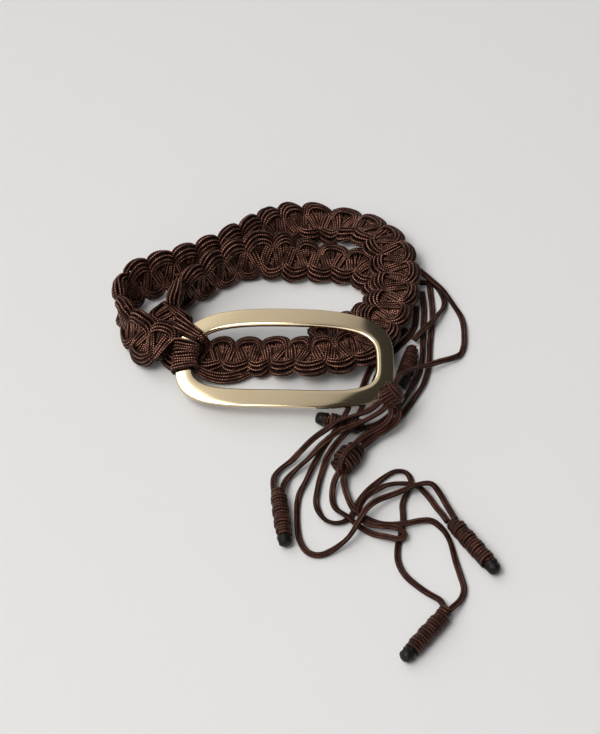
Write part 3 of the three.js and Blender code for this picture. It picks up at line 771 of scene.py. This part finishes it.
def makeBarrel(name, x, y, heading, length):
    size = barrelSize
    h = math.radians(heading)
    axis, side = np.array([math.cos(h), math.sin(h), 0]), np.array([-math.sin(h), math.cos(h), 0])
    up = np.array([0, 0, 1.0])
    start = np.array([x, y, size["radius"]]) + drawingZero
    body = length - size["tip"]
    turns = (body - size["margin"]) / size["wrap"]
    t = np.linspace(0, 1, int(turns * 26))
    spin = 2 * math.pi * turns * t + 1.1
    # the middle is a little fatter than the ends, and the turns lie unevenly
    radius = (size["radius"] - size["inset"]) * (0.93 + 0.07 * np.sin(math.pi * t)) \
        + 0.22 * np.sin(spin * 0.5 + x) + 0.12 * np.sin(spin * 2 + y)
    run = 1.5 + (body - 2.6) * t + 0.55 * np.cos(spin)
    out = side[None] * np.cos(spin)[:, None] + up[None] * np.sin(spin)[:, None]
    weaver = Weaver()
    weaver.strand(start + axis[None] * run[:, None] + out * radius[:, None], out, *flatBraid(3.5, 1.7))
    # the cord inside, seen at the mouth of the knot
    core = start + axis[None] * np.linspace(0.2, body, 10)[:, None]
    weaver.strand(core, np.tile(up, (10, 1)), *roundRib(size["core"], 12))
    knot = weaver.build(name + "_wraps", tieBraid)
    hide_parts(name)
    # sealed end
    rows, ring = [], size["ring"]
    a = np.linspace(0, 2 * math.pi, ring, endpoint=False)
    around = side[None] * np.cos(a)[:, None] + up[None] * np.sin(a)[:, None]
    for d, r in size["tipRows"]:
        uneven = 1 + 0.07 * np.sin(3 * a + 1.7 * d + x) + 0.06 * np.sin(5 * a - 2 * d + y)
        rows.append(start + axis * (body + d) + around * (r * uneven)[:, None])
    ends = [(start + axis * (body + d))[None] for d in (size["tipBack"], size["tipEnd"])]
    faces = []
    for r in range(0, (len(rows) - 1) * ring, ring):
        faces += [(r + i, r + (i + 1) % ring, r + ring + (i + 1) % ring, r + ring + i) for i in range(ring)]
    last = len(rows) * ring
    for i in range(ring):
        faces.append(((i + 1) % ring, i, last))
        faces.append((last - ring + i, last - ring + (i + 1) % ring, last + 1))
    tip = addObject(name + "_tip", plainMesh(name + "_tip", (np.vstack(rows + ends) * mm).tolist(), faces, sealedTip))
    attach(tip, "root")
    return [knot, tip]


for name, row in barrels.items():
    makeBarrel(name, *row)
print("barrel knots wrapped")


# middle and half sizes in mm, turn and axis in degrees
roundKnots = {
    "round_knot_upper": {"middle": (51.8, -22.6, 18.3), "half": (6.4, 6.6, 5.4), "turn": 38, "turns": 3.2, "axis": 20},
    "round_knot_lower": {"middle": (30.3, -52.5, 5.9), "half": (6.2, 10, 5.9), "turn": -34, "turns": 4.4, "axis": 0},
}


def makeRoundKnot(name, row):
    half, middle = np.array(row["half"]), np.array(row["middle"]) + drawingZero
    lean, yaw = turned(row["axis"], "x").T, turned(row["turn"], "z").T
    profile = flatBraid(3.3, 1.6)

    def onKnot(local):
        return unit(local @ lean) * (half - 0.85) @ yaw + middle

    weaver = Weaver()
    t = np.linspace(0, 1, int(row["turns"] * 26))
    high = -0.86 + 1.72 * t
    flat = np.sqrt(1 - high ** 2)
    a = 2 * math.pi * row["turns"] * t + 0.6
    path = evenly(onKnot(np.stack([flat * np.cos(a), high, flat * np.sin(a)], 1)), 0.9)
    weaver.strand(path, unit(path - middle), *profile)
    # one turn that passes over the others
    a = np.linspace(-0.7, math.pi + 0.5, 26)
    over = np.stack([0.45 * np.ones_like(a) - 0.5 * np.sin(a), np.cos(a), 0.95 * np.sin(a) + 0.2], 1)
    path = middle + (evenly(onKnot(over), 0.9) - middle) * 1.09
    weaver.strand(path, unit(path - middle), *profile)
    # bulk inside
    t = np.linspace(-0.72, 0.72, 9)
    core = np.stack([np.zeros(9), t * half[1], np.zeros(9)], 1) @ yaw + middle
    weaver.strand(core, np.tile(np.array([0, 0, 1.0]), (9, 1)), *roundRib(half[0] * 0.62, 12))
    return weaver.build(name + "_turns", tieBraid)


for name, row in roundKnots.items():
    makeRoundKnot(name, row)
    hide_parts(name)
print("round knots tied")


floorSettings = {"size": 6.0, "tone": (0.74, 0.73, 0.715), "rough": 0.9}
half = floorSettings["size"] / 2
material, nodes, links, shader = newMaterial("plain_floor")
setInputs(shader, {"Base Color": (*floorSettings["tone"], 1), "Roughness": floorSettings["rough"]})
corners = [(-half, -half, 0), (half, -half, 0), (half, half, 0), (-half, half, 0)]
floor = addObject("floor", plainMesh("floor", corners, [(0, 1, 2, 3)], material, smooth=False))

keyLight = {"place": (-0.75, -0.75, 1.75), "aim": (0, 0, 0), "size": 0.9, "power": 20.5, "tone": (1.0, 0.985, 0.965)}
lamp = bpy.data.lights.new("key", "AREA")
lamp.size, lamp.energy, lamp.color = keyLight["size"], keyLight["power"], keyLight["tone"]
aim = np.array(keyLight["aim"]) - np.array(keyLight["place"])
yaw, flat = math.atan2(aim[1], aim[0]), math.hypot(aim[0], aim[1])
addObject("key", lamp, keyLight["place"], (math.atan2(flat, -aim[2]), 0, yaw - math.pi / 2))

# a soft sky that is bright on the left and falls off to a dark side on the right
# stops are (place from -1 at the left to 1 at the right, brightness); white is a bright strip at the far left
skyLook = {
    "slant": -0.25, "whiteSlant": 0.30, "tint": (0.98, 0.985, 1), "horizon": (0.35, 0.75, 0.4, 1.0),
    "stops": ((-1.0, 0.9), (-0.45, 0.95), (-0.32, 0.72), (-0.1, 0.60), (0.02, 0.50), (0.08, 0.40), (0.10, 0.05),
              (0.4, 0.04), (1.0, 0.25)),
    "white": ((-1.0, 0.0), (-0.56, 0.0), (-0.52, 2.1), (-0.33, 2.1), (-0.285, 0.0), (1.0, 0.0)),
}
world = bpy.data.worlds.new("studio")
bpy.context.scene.world = world
world.use_nodes = True
sky, wires = world.node_tree.nodes, world.node_tree.links
way = sky.new("ShaderNodeTexCoord")
parts = sky.new("ShaderNodeSeparateXYZ")
wires.new(way.outputs["Generated"], parts.inputs[0])


def skyRamp(slant, stops):
    sideways = mathNode(sky, wires, "MULTIPLY", parts.outputs[1], slant)
    spread = rangeNode(sky, wires, mathNode(sky, wires, "ADD", parts.outputs[0], sideways), (-1, 1))
    ramp = sky.new("ShaderNodeValToRGB")
    wires.new(spread, ramp.inputs[0])
    band = ramp.color_ramp.elements
    band[0].position, band[1].position = 0.0, 1.0
    for at, level in stops:
        stop = band[0] if at == -1 else band[len(band) - 1] if at == 1 else band.new(0.5 + at / 2)
        stop.color = (*(level * tint for tint in skyLook["tint"]), 1)
    return ramp.outputs[0]


both = sky.new("ShaderNodeVectorMath")
wires.new(skyRamp(skyLook["slant"], skyLook["stops"]), both.inputs[0])
wires.new(skyRamp(skyLook["whiteSlant"], skyLook["white"]), both.inputs[1])
wires.new(both.outputs[0], sky["Background"].inputs[0])
# less of it near the horizon
wires.new(rangeNode(sky, wires, parts.outputs[2], skyLook["horizon"]), sky["Background"].inputs[1])
bpy.context.scene.view_settings.view_transform = "Standard"
print("stage set")
